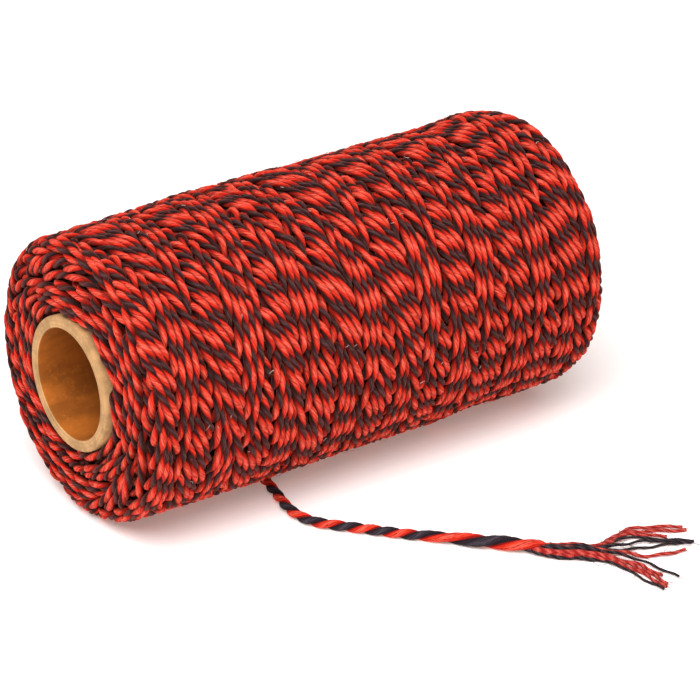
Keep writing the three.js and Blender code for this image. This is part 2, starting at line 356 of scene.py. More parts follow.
def tube_mesh(name, tubes, along, face_slots=None, sunk=None):
    """A mesh of closed tubes, each an array shaped (rings, sides, 3) in metres, with equally many sides.

    along holds how far along its twine each ring lies, in millimetres, face_slots the material of each
    side, and sunk how far each point of each ring lies down between its neighbours, which sets how much
    painted shade it gets."""
    sides = tubes[0].shape[1]
    around = np.arange(sides)
    side_share = TWINE_SIDES / sides
    points, quads, caps = [], [], []
    quad_uv, cap_uv, quad_slots = [], [], []
    start = 0
    for tube, places in zip(tubes, along):
        count = len(tube)
        points.append(tube.reshape(-1, 3))
        ring = np.arange(count - 1)[:, None] * sides + start
        a, b = ring + around, ring + (around + 1) % sides
        quads.append(np.stack([a, b, b + sides, a + sides], axis=2).reshape(-1, 4))
        if face_slots is not None:
            quad_slots.append(np.tile(face_slots, count - 1))
        u0 = np.repeat(places[:-1], sides)
        u1 = np.repeat(places[1:], sides)
        v0 = np.tile(around * side_share, count - 1)
        corners = [(u0, v0), (u0, v0 + side_share), (u1, v0 + side_share), (u1, v0)]
        quad_uv.append(np.stack([np.stack(pair, axis=1) for pair in corners], axis=1))
        for place in (places[0], places[-1]):
            cap_uv.append(np.stack([np.full(sides, place), around * side_share], axis=1))
        last = start + (count - 1) * sides
        caps += [start + around[::-1], last + around]
        start += count * sides
    points, quads = np.concatenate(points), np.concatenate(quads)
    loops = np.concatenate([quads.ravel(), np.concatenate(caps)])
    totals = np.concatenate([np.full(len(quads), 4), np.full(len(caps), sides)])
    starts = np.concatenate([[0], np.cumsum(totals)[:-1]])
    mesh = bpy.data.meshes.new(name)
    mesh.vertices.add(len(points))
    mesh.vertices.foreach_set("co", points.astype(np.float32).ravel())
    mesh.loops.add(len(loops))
    mesh.loops.foreach_set("vertex_index", loops.astype(np.int32))
    mesh.polygons.add(len(totals))
    mesh.polygons.foreach_set("loop_start", starts.astype(np.int32))
    mesh.polygons.foreach_set("use_smooth", np.ones(len(totals), bool))
    if face_slots is not None:
        slots = np.concatenate([np.concatenate(quad_slots), np.zeros(len(caps), int)])
        mesh.polygons.foreach_set("material_index", slots.astype(np.int32))
    layer = mesh.uv_layers.new(name="twine")
    values = np.concatenate([np.concatenate(quad_uv).reshape(-1, 2), np.concatenate(cap_uv)])
    layer.data.foreach_set("uv", values.astype(np.float32).ravel())
    if sunk is not None:
        shade = mesh.attributes.new("sunk", "FLOAT", "POINT")
        values = np.concatenate([depths.ravel() for depths in sunk])
        shade.data.foreach_set("value", values.astype(np.float32))
    mesh.update(calc_edges=True)
    mesh.validate()
    return mesh


def unit(vectors):
    return vectors / np.linalg.norm(vectors, axis=-1, keepdims=True)


def smooth_line(points, spacing):
    """Even points on a Catmull-Rom curve through the given ones."""
    points = np.asarray(points, float)
    padded = np.vstack([2 * points[0] - points[1], points, 2 * points[-1] - points[-2]])
    share = np.linspace(0, 1, 12, endpoint=False)[:, None]
    dense = []
    for p0, p1, p2, p3 in zip(padded, padded[1:], padded[2:], padded[3:]):
        dense.append(
            0.5 * (2 * p1 + (p2 - p0) * share + (2 * p0 - 5 * p1 + 4 * p2 - p3) * share**2
                   + (3 * p1 - p0 - 3 * p2 + p3) * share**3)
        )
    dense = np.vstack(dense + [points[-1:]])
    arc = np.concatenate([[0], np.cumsum(np.linalg.norm(np.diff(dense, axis=0), axis=1))])
    even = np.linspace(0, arc[-1], max(2, round(arc[-1] / spacing) + 1))
    return np.stack([np.interp(even, arc, dense[:, axis]) for axis in range(3)], axis=1), even


def twine_section(red_share):
    """Angles and distances of the section's points: the red ply, then the black one, pressed together."""
    span, out = np.array(PLY_OUTSIDE).T
    half_red = math.pi * red_share
    angle = np.concatenate([span * half_red, math.pi + span * (math.pi - half_red)])
    return angle, np.tile(out, 2)


def twine_rings(middle, outward, twist, width, height, red_share):
    """Rings of the twisted twine round its middle line, and how far outward each point of them faces.

    The twist is left-handed: the plies turn backwards as the twine runs on."""
    along = unit(np.gradient(middle, axis=0))
    across = unit(np.cross(along, outward))
    up = np.cross(across, along)
    angle, out = twine_section(red_share)
    turned = angle[None, :] - twist[:, None]
    rise = np.multiply.outer(np.broadcast_to(height, len(middle)), out) * np.cos(turned)
    side = np.multiply.outer(np.broadcast_to(width, len(middle)), out) * np.sin(turned)
    rings = middle[:, None, :] + rise[..., None] * up[:, None, :] + side[..., None] * across[:, None, :]
    return rings, np.cos(turned)


def wander(rng, length, spacing, amount):
    """Smooth random numbers along a line, spacing points apart, about amount in size."""
    knots = rng.normal(0, amount, int(length / spacing) + 4)
    place = np.arange(length) / spacing
    index = place.astype(int)
    share = place - index
    ease = share * share * (3 - 2 * share)
    return knots[index] * (1 - ease) + knots[index + 1] * ease


# Materials


def group_tree(name, inputs, outputs):
    tree = bpy.data.node_groups.new(name, "ShaderNodeTree")
    for label, kind in inputs:
        tree.interface.new_socket(name=label, in_out="INPUT", socket_type=kind)
    for label, kind in outputs:
        tree.interface.new_socket(name=label, in_out="OUTPUT", socket_type=kind)
    return tree, tree.nodes.new("NodeGroupInput"), tree.nodes.new("NodeGroupOutput")


def feed(tree, socket, value):
    """Links an output to the socket, or sets the socket to a plain value."""
    if isinstance(value, bpy.types.NodeSocket):
        tree.links.new(value, socket)
    elif hasattr(value, "__len__"):
        socket.default_value = (*value, 1.0) if len(value) == 3 else value
    else:
        socket.default_value = value


def feed_node(tree, node, values):
    for name, value in values.items():
        feed(tree, node.inputs[name], value)


def noise_node(tree, vector, scale, detail=3.0, roughness=0.6, stretch=None):
    if stretch is not None:
        mapping = tree.nodes.new("ShaderNodeMapping")
        mapping.inputs["Scale"].default_value = stretch
        tree.links.new(vector, mapping.inputs["Vector"])
        vector = mapping.outputs["Vector"]
    noise = tree.nodes.new("ShaderNodeTexNoise")
    feed_node(tree, noise, {"Vector": vector, "Scale": scale, "Detail": detail, "Roughness": roughness})
    return noise.outputs["Fac"]


def ramp_node(tree, value, low, high, low_value=0.0, high_value=1.0):
    ramp = tree.nodes.new("ShaderNodeMapRange")
    ramp.interpolation_type = "SMOOTHSTEP"
    limits = {"From Min": low, "From Max": high, "To Min": low_value, "To Max": high_value}
    feed_node(tree, ramp, {"Value": value, **limits})
    return ramp.outputs["Result"]


def mix_node(tree, share, first, second, blend="MIX"):
    mix = tree.nodes.new("ShaderNodeMix")
    mix.data_type = "RGBA"
    mix.blend_type = blend
    feed(tree, mix.inputs[0], share)
    feed(tree, mix.inputs[6], first)
    feed(tree, mix.inputs[7], second)
    return mix.outputs[2]


def maths_node(tree, operation, first, second=0.0):
    node = tree.nodes.new("ShaderNodeMath")
    node.operation = operation
    feed(tree, node.inputs[0], first)
    feed(tree, node.inputs[1], second)
    return node.outputs[0]


def spun_fibre_group():
    """Cotton spun into a ply. The place counts millimetres along the twine and sides round it.

    Gives the colour, with painted shade towards the groove between the plies, between their yarns and where
    the twine lies sunk, a painted highlight on the crown, streaks of fibre, uneven dye and pale lint, and
    the height of yarns and fibres."""
    name = "Spun fibre"
    if name in bpy.data.node_groups:
        return bpy.data.node_groups[name]
    tree, entry, leave = group_tree(
        name,
        [("Place", "NodeSocketVector"), ("Colour", "NodeSocketColor"), ("Deep", "NodeSocketColor"),
         ("Lint and highlight", "NodeSocketColor"), ("Yarns", "NodeSocketFloat"), ("Sunk", "NodeSocketFloat")],
        [("Colour", "NodeSocketColor"), ("Height", "NodeSocketFloat")],
    )
    # Deep is the colour of the painted shade
    place, crown, deep = entry.outputs["Place"], entry.outputs["Colour"], entry.outputs["Deep"]
    split = tree.nodes.new("ShaderNodeSeparateXYZ")
    tree.links.new(place, split.inputs["Vector"])
    streak = noise_node(tree, place, 1.0, 4.0, 0.7, (0.5, 2.6, 1.0))
    dye = noise_node(tree, place, 1.0, 2.0, 0.5, (0.13, 0.3, 1.0))
    lint = noise_node(tree, place, 1.0, 3.0, 0.7, (2.3, 2.9, 1.0))
    across = maths_node(tree, "FRACT", maths_node(tree, "DIVIDE", split.outputs["Y"], PLY_SIDES))
    off_crown = maths_node(tree, "ABSOLUTE", maths_node(tree, "SUBTRACT", across, 0.5))
    # Painted shade: darker towards the groove at each edge of the ply
    groove = ramp_node(tree, off_crown, 0.16, 0.45)
    # The yarns of a ply cross it on a slight slant
    slant = maths_node(tree, "MULTIPLY", split.outputs["X"], FIBRE["slant"])
    order = maths_node(tree, "ADD", maths_node(tree, "MULTIPLY", across, entry.outputs["Yarns"]), slant)
    order = maths_node(tree, "ADD", order, maths_node(tree, "MULTIPLY", dye, FIBRE["shift"]))
    in_yarn = maths_node(tree, "PINGPONG", order, 0.5)
    ridge = ramp_node(tree, in_yarn, 0.0, 0.3)
    # The colour runs from the deep colour to the crown by streaks, by painted shade between the yarns and
    # towards the groove, and by uneven dye
    body = ramp_node(tree, streak, 0.28, 0.6)
    for value, limits in ((ridge, (0, 1, 0.45, 1)), (groove, (0, 1, 1, 0)), (dye, (0.3, 0.7, 1, 0.72))):
        body = maths_node(tree, "MULTIPLY", body, ramp_node(tree, value, *limits))
    shade = mix_node(tree, body, deep, crown)
    # Painted highlight: the crown of a ply is painted pale, and flecks of lint lie anywhere
    painted_highlight = ramp_node(tree, off_crown, 0.02, 0.22, 1, 0)
    painted_highlight = maths_node(tree, "MULTIPLY", painted_highlight, ramp_node(tree, streak, 0.4, 0.6))
    painted_highlight = maths_node(tree, "MULTIPLY", painted_highlight, FIBRE["painted_highlight"])
    for share in (painted_highlight, ramp_node(tree, lint, 0.62, 0.78, 0.0, FIBRE["lint"])):
        shade = mix_node(tree, share, shade, entry.outputs["Lint and highlight"])
    # Painted shade: what lies deep between the turns is darker still
    painted_depth_shade = ramp_node(tree, entry.outputs["Sunk"], 0.15, 0.9, 0.0, FIBRE["painted_depth_shade"])
    shade = mix_node(tree, painted_depth_shade, shade, mix_node(tree, 1.0, deep, (0.35, 0.35, 0.35), "MULTIPLY"))
    height = maths_node(tree, "ADD", maths_node(tree, "MULTIPLY", streak, 0.6), ridge)
    tree.links.new(shade, leave.inputs["Colour"])
    tree.links.new(height, leave.inputs["Height"])
    return tree


def new_material(name):
    material = bpy.data.materials.new(name)
    material.use_nodes = True
    tree = material.node_tree
    return material, tree, tree.nodes["Principled BSDF"]


def object_place(tree):
    return tree.nodes.new("ShaderNodeTexCoord").outputs["Object"]


def add_bump(tree, shader, height, strength, distance):
    bump = tree.nodes.new("ShaderNodeBump")
    feed_node(tree, bump, {"Strength": strength, "Distance": distance, "Height": height})
    tree.links.new(bump.outputs["Normal"], shader.inputs["Normal"])


def ply_material(name, crown, deep, lint, sheen, sheen_tint):
    """A ply's cotton: its colour on the crown and of the painted shade in the deep, its lint, which also
    colours the painted highlight on the crown, and the gloss of its fuzz.
    """
    if name in bpy.data.materials:
        return bpy.data.materials[name]
    material, tree, shader = new_material(name)
    place = tree.nodes.new("ShaderNodeUVMap")
    place.uv_map = "twine"
    # How sunk each point lies sets the painted shade between the turns
    sunk = tree.nodes.new("ShaderNodeAttribute")
    sunk.attribute_name = "sunk"
    fibre = tree.nodes.new("ShaderNodeGroup")
    fibre.node_tree = spun_fibre_group()
    feed_node(tree, fibre, {"Place": place.outputs["UV"], "Sunk": sunk.outputs["Fac"]})
    feed_node(tree, fibre, {"Colour": crown, "Deep": deep, "Lint and highlight": lint, "Yarns": YARNS_IN_PLY})
    feed_node(tree, shader, {
        "Base Color": fibre.outputs["Colour"], "Roughness": 0.8, "Specular IOR Level": 0.12,
        "Sheen Weight": sheen, "Sheen Roughness": 0.45, "Sheen Tint": sheen_tint,
    })
    add_bump(tree, shader, fibre.outputs["Height"], 0.7, 0.1 * MM)
    return material


def scaled(colour, shares):
    return tuple(channel * share for channel, share in zip(colour, shares))


def red_ply():
    crown = tuple(bpy.context.scene.twine_roll_twine.red)
    # The deep colour is the painted shade, and the pale red given as lint also paints the highlight on the
    # crown
    deep = scaled(crown, (0.24, 0.07, 0.05))
    return ply_material("red cotton ply", crown, deep, (1.0, 0.3, 0.2), 0.12, (1.0, 0.25, 0.15))


def black_ply():
    """The black ply on the roll: its painted shade in the grooves is dark red, as of light thrown back by
    the red plies, and its fuzz has a red sheen.
    """
    crown = tuple(bpy.context.scene.twine_roll_twine.black)
    deep = scaled(crown, (0.9, 0.2, 0.15))
    return ply_material("black cotton ply", crown, deep, (0.2, 0.1, 0.1), 0.3, (1.0, 0.2, 0.12))


def plain_black_ply():
    """The black ply off the roll: its painted shade in the grooves is near black, and its sheen is faint and
    pale.
    """
    crown, deep, lint = (0.021, 0.014, 0.02), (0.012, 0.006, 0.009), (0.14, 0.12, 0.15)
    return ply_material("plain black cotton ply", crown, deep, lint, 0.03, (0.6, 0.5, 0.6))


def loose_yarn(tint):
    """The same cotton where it is untwisted: paler, because its fibres stand open."""
    # Each deep colour is the painted shade in the grooves, and each lint colour also paints the highlight on
    # the crown
    if tint == "red":
        crown, deep, lint = (0.68, 0.07, 0.045), (0.3, 0.01, 0.01), (1.0, 0.42, 0.35)
        return ply_material("loose red yarn", crown, deep, lint, 0.1, (1, 0.7, 0.6))
    crown, deep, lint = (0.04, 0.026, 0.032), (0.012, 0.006, 0.007), (0.2, 0.17, 0.19)
    return ply_material("loose black yarn", crown, deep, lint, 0.05, (1, 0.9, 0.9))


def board_material(name, paper):
    """Wound kraft board: pulp, streaks, and rings of its layers by the distance from the tube's axis."""
    material, tree, shader = new_material(name)
    place = object_place(tree)
    pulp = noise_node(tree, place, 900.0, 4.0, 0.6)
    streak = noise_node(tree, place, 160.0, 4.0, 0.6, (0.4, 1.0, 1.0))
    off_axis = tree.nodes.new("ShaderNodeVectorMath")
    off_axis.operation = "MULTIPLY_ADD"
    off_axis.inputs[1].default_value = (0, 1, 1)
    off_axis.inputs[2].default_value = (0, 0, -AXIS_HEIGHT)
    tree.links.new(place, off_axis.inputs[0])
    distance = tree.nodes.new("ShaderNodeVectorMath")
    distance.operation = "LENGTH"
    tree.links.new(off_axis.outputs["Vector"], distance.inputs[0])
    layer = maths_node(tree, "DIVIDE", distance.outputs["Value"], TUBE_WALL / BOARD_RINGS)
    layer = maths_node(tree, "ADD", layer, maths_node(tree, "MULTIPLY", streak, 0.3))
    seam = ramp_node(tree, maths_node(tree, "PINGPONG", layer, 0.5), 0.0, 0.22, 0.55, 0.0)
    dark = scaled(paper, (0.62, 0.62, 0.62))
    pale = tuple(min(1.0, channel * 1.25) for channel in paper)
    shade = mix_node(tree, ramp_node(tree, streak, 0.35, 0.65), dark, paper)
    shade = mix_node(tree, ramp_node(tree, pulp, 0.5, 0.75, 0.0, 0.6), shade, pale)
    shade = mix_node(tree, seam, shade, dark)
    feed_node(tree, shader, {"Base Color": shade, "Roughness": 0.8, "Specular IOR Level": 0.15})
    add_bump(tree, shader, pulp, 0.4, 0.1 * MM)
    return material


def deep_turns_shade_material():
    material, tree, shader = new_material("deep turns")
    place = object_place(tree)
    patch = noise_node(tree, place, 260.0, 3.0, 0.6, (1.0, 0.5, 0.5))
    # Painted shade: the body is near black and dark red, the shade between the turns that show, not the
    # twine's own colours
    shade = mix_node(tree, ramp_node(tree, patch, 0.42, 0.58), (0.012, 0.004, 0.004), (0.09, 0.003, 0.002))
    feed_node(tree, shader, {"Base Color": shade, "Roughness": 0.9})
    add_bump(tree, shader, patch, 0.5, 0.3 * MM)
    return material


def lint_material():
    material, tree, shader = new_material("pale lint")
    place = object_place(tree)
    tint = ramp_node(tree, noise_node(tree, place, 300.0), 0.4, 0.6)
    shade = mix_node(tree, tint, (0.42, 0.3, 0.26), (0.6, 0.54, 0.5))
    feed_node(tree, shader, {"Base Color": shade, "Roughness": 0.9})
    return material


def table_material(floor, glow):
    """A lit table: its own light lifts the shadow, as in a product photograph."""
    material, tree, shader = new_material("white table")
    feed_node(tree, shader, {"Base Color": tuple(floor), "Roughness": 0.6})
    feed_node(tree, shader, {"Emission Color": FLOOR_GLOW, "Emission Strength": glow})
    return material


# The wound form


def barrel_radius(x):
    along = 2 * x / WINDING_LENGTH
    lean = WINDING_LEAN * (along - 0.5 * along * np.abs(along))
    return WINDING_RADIUS + PROUD - WINDING_SWELL * along**2 + lean


def shoulder_points(shape, end_x, inward):
    """Quarter of a superellipse from the tube's side out to the barrel."""
    angle = np.linspace(0, math.pi / 2, 40)
    power = 2 / shape["squareness"]
    bore = TUBE_RADIUS + FIT_GAP
    rise = barrel_radius(end_x + inward * shape["depth"]) - bore
    x = end_x + inward * shape["depth"] * (1 - np.abs(np.cos(angle)) ** power)
    return np.stack([x, bore + rise * np.sin(angle) ** power], axis=1)


def wound_profile(step):
    """The winding's outside from tube edge to tube edge, at even steps: x, radius and outward normal."""
    near = shoulder_points(NEAR_SHOULDER, -WINDING_LENGTH / 2 - NEAR_PROUD, 1)
    far = shoulder_points(FAR_SHOULDER, WINDING_LENGTH / 2, -1)[::-1]
    x = np.linspace(near[-1, 0], far[0, 0], 120)[1:-1]
    line = np.vstack([near, np.stack([x, barrel_radius(x)], axis=1), far])
    arc = np.concatenate([[0], np.cumsum(np.linalg.norm(np.diff(line, axis=0), axis=1))])
    even = np.arange(0, arc[-1], step)
    line = np.stack([np.interp(even, arc, line[:, axis]) for axis in range(2)], axis=1)
    along = np.gradient(line, axis=0)
    normal = unit(np.stack([-along[:, 1], along[:, 0]], axis=1))
    kernel = np.hanning(2 * round(EVENED / step) + 1)
    kernel /= kernel.sum()
    half = len(kernel) // 2
    padded = np.vstack([np.repeat(normal[:1], half, 0), normal, np.repeat(normal[-1:], half, 0)])
    normal = unit(np.stack([np.convolve(padded[:, axis], kernel, "valid") for axis in range(2)], axis=1))
    return line, normal


def end_reaches(amount, offset, cycles):
    """How far along the shoulder the twine runs in each cycle: most often nearly all the way."""
    share = (np.arange(cycles + 1) * END_REACH["golden"] + offset) % 1
    least = END_REACH["least"]
    return amount * (least + (1 - least) * share ** END_REACH["power"])


def end_path(amount, place, slope, dwell):
    """Out over the shoulder and back again, no steeper at its start than the barrel's own turns."""
    power = np.maximum(END_DWELL_SHAPE, slope * dwell / (2 * amount))
    return amount * (1 - np.abs(2 * place - 1) ** power)


def laid_path(rng, profile, options, twine):
    """Angle round the roll, place on the profile, length of twine and turns of its plies, at each step.

    The twine runs to the far end, over its shoulder, back, and over the near shoulder, again and again."""
    radius = profile[:, 1]
    on_barrel = np.nonzero(radius > WINDING_RADIUS - BARREL_EDGE)[0]
    off_tube = np.nonzero(radius > TUBE_RADIUS + 0.9 * twine.diameter / 2)[0]
    barrel_start, barrel_end = on_barrel[0] * CELL, on_barrel[-1] * CELL
    slope = options.advance / TAU
    run = (barrel_end - barrel_start) / slope
    # The turns of one cycle end a band's share of a turn further on, less the shift from turn to turn
    angle = math.atan2(options.advance, TAU * WINDING_RADIUS)
    shift = options.pitch / (options.advance * math.cos(angle)) / options.starts
    turns = round((2 * run / TAU + SHOULDER_TURNS) * options.starts) / options.starts
    if round(turns * options.starts) % options.starts == 0:
        turns += 1 / options.starts
    cycle = TAU * (turns - shift)
    dwell = (cycle - 2 * run) / 2
    step = TAU / COLUMNS
    count = int(options.cycles * cycle / step)
    theta = np.arange(count) * step
    number = (theta / cycle).astype(int)
    local = theta - number * cycle
    near = end_reaches(barrel_start - off_tube[0] * CELL, END_REACH["near"], options.cycles)[number]
    far = end_reaches(off_tube[-1] * CELL - barrel_end, END_REACH["far"], options.cycles)[number]
    at_far = np.clip((local - run) / dwell, 0, 1)
    at_near = np.clip((local - 2 * run - dwell) / dwell, 0, 1)
    arc = np.select(
        [local < run, local < run + dwell, local < 2 * run + dwell],
        [
            barrel_start + slope * local,
            barrel_end + end_path(far, at_far, slope, dwell),
            barrel_end - slope * (local - run - dwell),
        ],
        barrel_start - end_path(near, at_near, slope, dwell),
    )
    arc = arc + wander(rng, count, STRAYING_STEPS, options.wander)
    kernel = np.hanning(2 * SMOOTHED_STEPS + 1)
    arc = np.convolve(np.pad(arc, SMOOTHED_STEPS, mode="edge"), kernel / kernel.sum(), "valid")
    x, r = along_profile(profile, arc)
    length = np.concatenate([[0], np.cumsum(np.hypot(np.hypot(np.diff(x), np.diff(r)), r[1:] * step))])
    # The plies keep step with their neighbours on the barrel
    per_turn = round(TAU * WINDING_RADIUS / math.cos(angle) / twine.lay)
    plies = per_turn * theta / TAU
    on_end = ((local >= run) & (local < run + dwell)) | (local >= 2 * run + dwell)
    plies = plies + end_turns(plies, length, on_end, twine.lay)
    # The rows of one colour sway, and not alike on the way out and on the way back
    cell = np.clip(np.rint(arc / CELL).astype(int), 0, len(profile) - 1)
    column = np.arange(count) % COLUMNS
    going_out, coming_back = (row_sway(rng, len(profile))[column, cell] for _ in range(2))
    back = at_far - at_near
    plies += (1 - back) * going_out + back * coming_back
    plies += wander(rng, count, ROW_DRIFT["steps"], ROW_DRIFT["twists"])
    return theta, arc, length, plies


def end_turns(plies, length, on_end, lay):
    """The twists to add, so that on the ends of the roll the plies have their natural lay and come back to
    the barrel in step."""
    edges = np.flatnonzero(np.diff(on_end.astype(int)))
    extra = np.zeros(len(plies))
    for first, last in zip(edges[::2], edges[1::2]):
        gained = plies[last] - plies[first]
        whole = round((length[last] - length[first]) / lay - gained)
        share = (length[first:last] - length[first]) / (length[last] - length[first])
        extra[first:last] += plies[first] + share * (gained + whole) - plies[first:last]
        extra[last:] += whole
    return extra


def along_profile(values, arc):
    """Both columns of values, which are given for each cell of the profile, at the given places on it."""
    grid = np.arange(len(values)) * CELL
    return np.interp(arc, grid, values[:, 0]), np.interp(arc, grid, values[:, 1])


def collars(profile, options, twine):
    """The turns close round the tube, at the near end and at the far one, each as a path of the same kind.
    They start underneath."""
    steps = np.arange(COLLAR_TURNS * COLUMNS)
    theta = steps * TAU / COLUMNS + math.pi
    on_face = np.nonzero(profile[:, 1] > TUBE_RADIUS + PACKED_HALF * twine.packed)[0]
    parts = []
    for start, way in ((on_face[0], 1), (on_face[-1], -1)):
        arc = start * CELL + way * options.pitch * steps / COLUMNS
        length = np.cumsum(along_profile(profile, arc)[1]) * TAU / COLUMNS
        parts.append((theta, arc, length, length / twine.lay))
    return parts


def blurred(grid, rows, columns):
    """Gaussian blur of a grid whose first axis runs round the roll; sizes are in cells."""
    edge = int(3 * columns)
    padded = np.pad(grid, ((0, 0), (edge, edge)), mode="reflect")
    f0 = np.fft.fftfreq(padded.shape[0])[:, None]
    f1 = np.fft.rfftfreq(padded.shape[1])[None, :]
    keep = np.exp(-2 * math.pi**2 * ((f0 * rows) ** 2 + (f1 * columns) ** 2))
    return np.fft.irfft2(np.fft.rfft2(padded) * keep, padded.shape)[:, edge:-edge]


def row_sway(rng, cells):
    """How many twists the plies are ahead or behind, for each place round and along the roll."""
    around = TAU * WINDING_RADIUS / COLUMNS
    sway = blurred(rng.normal(0, 1, (COLUMNS, cells)), ROW_SWAY["round"] / around, ROW_SWAY["along"] / CELL)
    return sway * ROW_SWAY["twists"] / sway.std()


def pack_down(rng, arc, profile, radius):
    """Packs the twine from the outside in: the last turn lies at the outer surface, and each earlier one as
    high as the turns laid over it allow. Gives the height of its middle line, and how much of it shows."""
    cells = len(profile)
    roof = blurred(rng.normal(0, 1, (COLUMNS, cells)), UNEVEN["round"], UNEVEN["along"])
    roof *= UNEVEN["height"] / roof.std()
    owner = np.full((COLUMNS, cells), -1)
    top = np.full((COLUMNS, cells), -math.inf)
    side, core = int(radius / CELL), int(CORE_SHARE * radius / CELL)
    offsets = np.arange(-side, side + 1)
    lift = np.sqrt(np.maximum(radius**2 - (offsets * CELL) ** 2, 0))
    pressed = slice(side - core, side + core + 1)
    backwards = arc[::-1]
    heights = np.zeros(len(arc))
    # In steps: how far it looks ahead and back, and by how much a low spot is widened and then rounded
    ahead, memory, slack, bend = 24, 8, 2, 4
    kernel = np.hanning(2 * bend + 3)[1:-1]
    kernel /= kernel.sum()
    for start in range(0, len(arc), COLUMNS - ahead):
        steps = np.arange(start, min(start + COLUMNS, len(arc)))
        column = (len(arc) - 1 - steps) % COLUMNS
        cell = np.clip(np.rint(backwards[steps] / CELL).astype(int)[:, None] + offsets, 0, cells - 1)
        line = (roof[column[:, None], cell[:, pressed]] - lift[pressed]).min(axis=1)
        before = heights[max(0, start - memory):start]
        line = np.pad(np.concatenate([before, line]), slack + bend, mode="edge")
        # The twine is too stiff to follow each dip at once
        low = np.lib.stride_tricks.sliding_window_view(line, 2 * slack + 1).min(axis=1)
        line = np.convolve(low, kernel, "valid")[len(before):]
        done = min(COLUMNS - ahead, len(steps))
        heights[start:start + done] = line[:done]
        column, cell, line = column[:done, None], cell[:done], line[:done, None]
        higher = line + lift > top[column, cell]
        rows = np.broadcast_to(column, cell.shape)[higher]
        top[rows, cell[higher]] = (line + lift)[higher]
        owner[rows, cell[higher]] = np.broadcast_to(steps[:done, None], cell.shape)[higher]
        cell = cell[:, pressed]
        roof[column, cell] = np.minimum(roof[column, cell], line - lift[pressed])
    shown = np.bincount(owner[owner >= 0], minlength=len(arc))
    return heights[::-1], shown[::-1]


def shown_runs(shown, breaks, cells, margin, shortest):
    """First and last step of each stretch that shows in enough cells, a margin longer than what shows, and
    in one piece between two breaks."""
    runs = []
    for start, end in zip(breaks, breaks[1:]):
        mask = np.convolve(shown[start:end] >= cells, np.ones(2 * margin + 1), "same") > 0
        edges = start + np.flatnonzero(np.diff(np.concatenate([[0], mask.astype(int), [0]])))
        runs += [(a, b) for a, b in zip(edges[::2], edges[1::2]) if b - a >= shortest]
    return runs


def settle_on_floor(points):
    """The underside is pressed flat where it would go below the floor."""
    soft = 0.1 * MM
    z = points[..., 2]
    pressed = soft * np.log1p(np.exp(np.clip(z / soft, -30, 30)))
    points[..., 2] = np.where(z < 10 * soft, pressed, z)
    return points


def on_roll(profile, normal, arc, theta, height, least=0.0):
    """Places on the roll and the outward directions there, from how far along the profile they lie, their
    angle from the top, and their height over it."""
    px, pr = along_profile(profile, arc)
    nx, nr = along_profile(normal, arc)
    x = px + height * nx
    level = np.zeros(len(x))
    for part in TOP_LEVELS:
        level += part["height"] * np.exp(-(((x - part["place"]) / part["width"]) ** 2))
    level *= np.maximum(np.cos(theta), 0) ** 2
    r = np.maximum(pr + height * nr + level, least)
    place = np.stack([x, r * np.sin(theta), AXIS_HEIGHT + r * np.cos(theta)], axis=1)
    outward = np.stack([nx, nr * np.sin(theta), nr * np.cos(theta)], axis=1)
    return place, unit(outward)


def at_places(places, span, points):
    """The points that are given along span, at other places along it."""
    return np.stack([np.interp(places, span, points[:, axis]) for axis in range(3)], axis=1)


def laid_turns():
    """Rings of every stretch of twine that shows on the roll, how far along the twine each ring is, and how
    far each point lies down between its neighbours, which sets its painted shade."""
    twine = bpy.context.scene.twine_roll_twine
    options = bpy.context.scene.twine_roll_winding
    rng = np.random.default_rng(options.seed)
    profile, normal = wound_profile(CELL)
    whole = laid_path(rng, profile, options, twine)
    # The collars break the path underneath
    late = round(COLLAR_TIME * len(whole[0]) / COLUMNS) * COLUMNS + COLUMNS // 2
    early_turns = [values[:late] for values in whole]
    late_turns = [values[late:] for values in whole]
    parts = [early_turns, *collars(profile, options, twine), late_turns]
    breaks = np.cumsum([0] + [len(part[0]) for part in parts])
    theta, arc, length, plies = (np.concatenate(values) for values in zip(*parts))
    half = PACKED_HALF * twine.packed
    inset, shown = pack_down(rng, arc, profile, half)
    middle, outward = on_roll(profile, normal, arc, theta, inset, TUBE_RADIUS + half)
    tubes, along, sunk = [], [], []
    spacing = twine.lay / RINGS_PER_LAY
    for first, last in shown_runs(shown, breaks, cells=2, margin=3, shortest=7):
        span = length[first:last]
        places = np.linspace(span[0], span[-1], max(3, int((span[-1] - span[0]) / spacing) + 1))
        twist = np.interp(places, span, plies[first:last]) * TAU
        to_end = np.minimum(places - places[0], places[-1] - places)
        dive = DIVE["depth"] * np.clip(1 - to_end / DIVE["length"], 0, 1) ** 2
        up = unit(at_places(places, span, outward[first:last]))
        line = at_places(places, span, middle[first:last]) - dive[:, None] * up
        rings, upward = twine_rings(line, up, twist, twine.packed, twine.packed, twine.red_share)
        tubes.append(settle_on_floor(rings))
        along.append(places / MM)
        # How sunk each point lies, which sets its painted shade
        low = np.interp(places, span, -inset[first:last]) / twine.packed
        low = (low[:, None] - SUNK["from"]) * SUNK["deep"]
        sunk.append(np.clip(SUNK["away"] * (1 - upward) + low, 0, 1))
    return tubes, along, sunk


